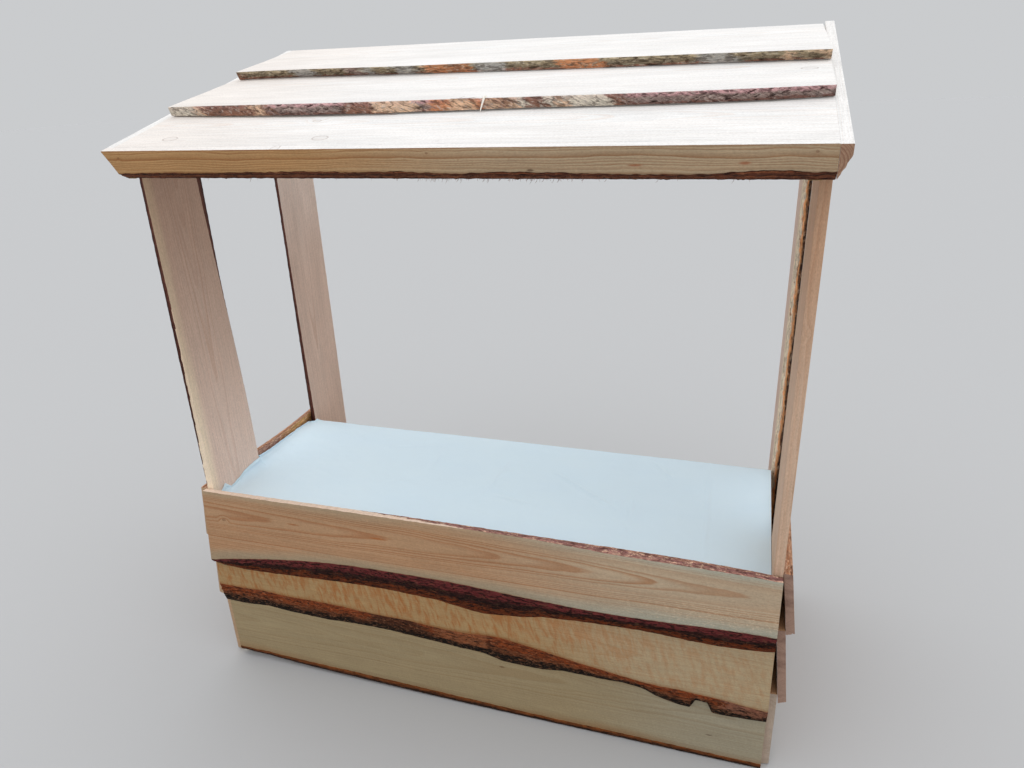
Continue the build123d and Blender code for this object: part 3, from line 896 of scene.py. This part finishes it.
def cotton():
    """White cotton with a fine weave and faint folds."""
    tree = Tree(bpy.data.materials.new("cloth_cotton"))
    place = tree.add("TexCoord").outputs["Object"]
    warp = tree.noise(place, (1400, 90, 90), detail=1)
    weft = tree.noise(place, (90, 1400, 90), detail=1)
    broad = tree.noise(place, (3, 5, 5), detail=3)
    colour = tree.mix(broad, tone(221, 242, 255), tone(229, 247, 255))
    across = tree.add("SeparateXYZ", {0: place}).outputs[0]
    # Painted shade: the cloth turns up to a tenth darker towards its right end, in the shade of the right
    # posts.
    colour = tree.lit(colour, tree.math("SUBTRACT", 1.0, tree.product(tree.rise(across, -0.9, 0.9), 0.1)))
    rumple = tree.noise(place, (22, 30, 22), detail=4, roughness=0.6)
    height = tree.total((warp, 0.12), (weft, 0.12), rumple)
    return tree.surface(colour, 0.85, height, 0.5, 0.004, Specular_IOR_Level=0.2, Sheen_Weight=0.15)


def tablecloth():
    """The cloth laid on the counter: turned up along its left edge, and hanging at the back."""
    low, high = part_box("tablecloth")
    side_low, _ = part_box("tablecloth_edge")
    drop = high.z - low.z
    depth = high.y - low.y
    post_back_edge = -0.159  # the front left post ends here
    next_post = 0.234  # and the back left post starts here
    turn_places = (-0.442, -0.4, -0.381, -0.35, -0.3, -0.267, -0.2, -0.165, -0.14, -0.1, 0.08, 0.2, 0.26)
    turn_heights = (0.01, 0.026, 0.042, 0.013, 0.022, 0.033, 0.039, 0.038, 0.024, 0.02, 0.013, 0.008,
                    0.006)
    bend = 0.028  # how far in from the edge the cloth starts to rise
    edge_reach = 0.09  # how far in the cloth is rumpled by the turn
    # Each wave has its scale across and along, its place in the noise, and its height in the middle
    # and beside the edge
    waves = ((3.1, 4.3, 0.7, 0.0016, 0), (9, 12, 4, 0.0006, 0.002), (30, 26, 6, 0.0003, 0.0012))
    # Each crease has its start, its end and its height
    creases = ((0.16, 0.07, 0.48, -0.16, 0.0046), (0, 0.11, -0.026, -0.21, 0.0034),
               (-0.01, -0.152, 0.19, -0.193, 0.003), (-0.58, 0.09, -0.28, 0.156, 0.0018),
               (-0.296, 0.17, -0.285, -0.07, 0.0018), (-0.5, -0.19, -0.26, -0.125, 0.0018),
               (0.52, 0.23, 0.63, 0.09, 0.0034), (0.5, 0.01, 0.507, -0.37, 0.0026),
               (0.741, 0.3, 0.767, -0.42, 0.0026))
    edge_columns = 9
    columns = 410
    rows = 210
    crease_width = 0.0075
    lift = 0.001  # how far the cloth stays clear of the counter
    deepest = -0.0009
    gap = 0.0015
    vertices = []
    for row in range(rows):
        run = (depth + drop) * row / (rows - 1)
        y = low.y + min(run, depth)
        beside = np.interp(y, (post_back_edge, post_back_edge + 0.016, next_post - 0.012, next_post),
                           (0, 1, 1, 0))
        edge_x = low.x + gap + (side_low.x - low.x) * beside
        height = float(np.interp(y, turn_places, turn_heights))
        height += 0.003 * noise.noise((y * 40, 0, 3))
        for column in range(edge_columns + columns):
            if column < edge_columns:
                share = 1 - column / edge_columns
                x = edge_x + 0.004 * math.sin(share * math.pi) * (0.5 + noise.noise((y * 30, share, 8)))
                z = high.z + height * (0.55 + 0.45 * share)
            else:
                place = (column - edge_columns) / (columns - 1)
                x = edge_x + (high.x - gap - edge_x) * place
                inward = min(1.0, (x - edge_x) / bend)
                z = high.z + 0.55 * height * (1 - inward) ** 2.2
            z -= max(0.0, run - depth)
            near_edge = math.exp(-((x - edge_x) / edge_reach) ** 2)
            wave = 0.0
            for x_scale, y_scale, layer, middle, beside_edge in waves:
                amount = middle + beside_edge * near_edge
                wave += noise.noise((x * x_scale, y * y_scale, layer)) * amount
            for start_x, start_y, end_x, end_y, rise in creases:
                run_x = end_x - start_x
                run_y = end_y - start_y
                share = ((x - start_x) * run_x + (y - start_y) * run_y) / (run_x ** 2 + run_y ** 2)
                off = math.hypot(x - start_x - share * run_x, y - start_y - share * run_y)
                fade = max(0.0, min(1.0, 4 * share, 4 - 4 * share))
                wave += rise * fade * math.exp(-(off / crease_width) ** 2)
            vertices.append((x, y, z + max(deepest, wave) + lift))
    across = edge_columns + columns
    faces = []
    for row in range(rows - 1):
        for column in range(across - 1):
            start = row * across + column
            faces.append((start, start + 1, start + across + 1, start + across))
    mesh = bpy.data.meshes.new("tablecloth")
    mesh.from_pydata(vertices, [], faces)
    mesh.materials.append(cotton())
    mesh.shade_smooth()
    piece = add_piece("tablecloth_cotton", mesh, "tablecloth")
    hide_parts("tablecloth_edge")


tablecloth()


def floor():
    """A wide pale floor."""
    reach = 40.0
    grey = (0.5, 0.505, 0.51, 1)
    mesh = bpy.data.meshes.new("floor")
    mesh.from_pydata([(-reach, -reach, 0), (reach, -reach, 0), (reach, reach, 0), (-reach, reach, 0)],
                     [], [(0, 1, 2, 3)])
    tree = Tree(bpy.data.materials.new("floor"))
    shader = tree.add("BsdfPrincipled", {"Base Color": grey, "Roughness": 0.9})
    tree.add("OutputMaterial", {"Surface": shader.outputs["BSDF"]})
    mesh.materials.append(tree.owner)
    piece = bpy.data.objects.new("floor", mesh)
    bpy.context.scene.collection.objects.link(piece)


def daylight():
    """An overcast sky, brighter overhead, and an even grey where the camera sees it."""
    low_sky = (0.38, 0.39, 0.4, 1)
    high_sky = (1.4, 1.41, 1.43, 1)
    backdrop = (0.591, 0.602, 0.615, 1)
    world = bpy.data.worlds.new("sky")
    bpy.context.scene.world = world
    tree = Tree(world)
    direction = tree.add("TexCoord").outputs["Generated"]
    height = tree.add("SeparateXYZ", {0: direction}).outputs[2]
    sky = tree.mix(tree.rise(height, -0.1, 1.0), low_sky, high_sky)
    seen = tree.add("LightPath").outputs["Is Camera Ray"]
    colour = tree.mix(seen, sky, backdrop)
    shade = tree.add("Background", {"Color": colour, "Strength": 1.0})
    tree.add("OutputWorld", {"Surface": shade.outputs[0]})


def camera():
    """The photograph's camera."""
    data = bpy.data.cameras.new("camera")
    data.sensor_width = sensor_width
    data.lens = camera_focal / photo_width * sensor_width
    data.clip_end = 200
    piece = bpy.data.objects.new("camera", data)
    turn = Matrix.Rotation(math.radians(camera_turn), 4, "Z")
    dip = Matrix.Rotation(math.radians(90 - camera_dip), 4, "X")
    roll = Matrix.Rotation(math.radians(-camera_roll), 4, "Z")
    piece.matrix_world = Matrix.Translation(camera_place) @ turn @ dip @ roll
    bpy.context.scene.collection.objects.link(piece)
    bpy.context.scene.camera = piece


floor()
daylight()
camera()
bpy.context.scene.view_settings.view_transform = "Standard"
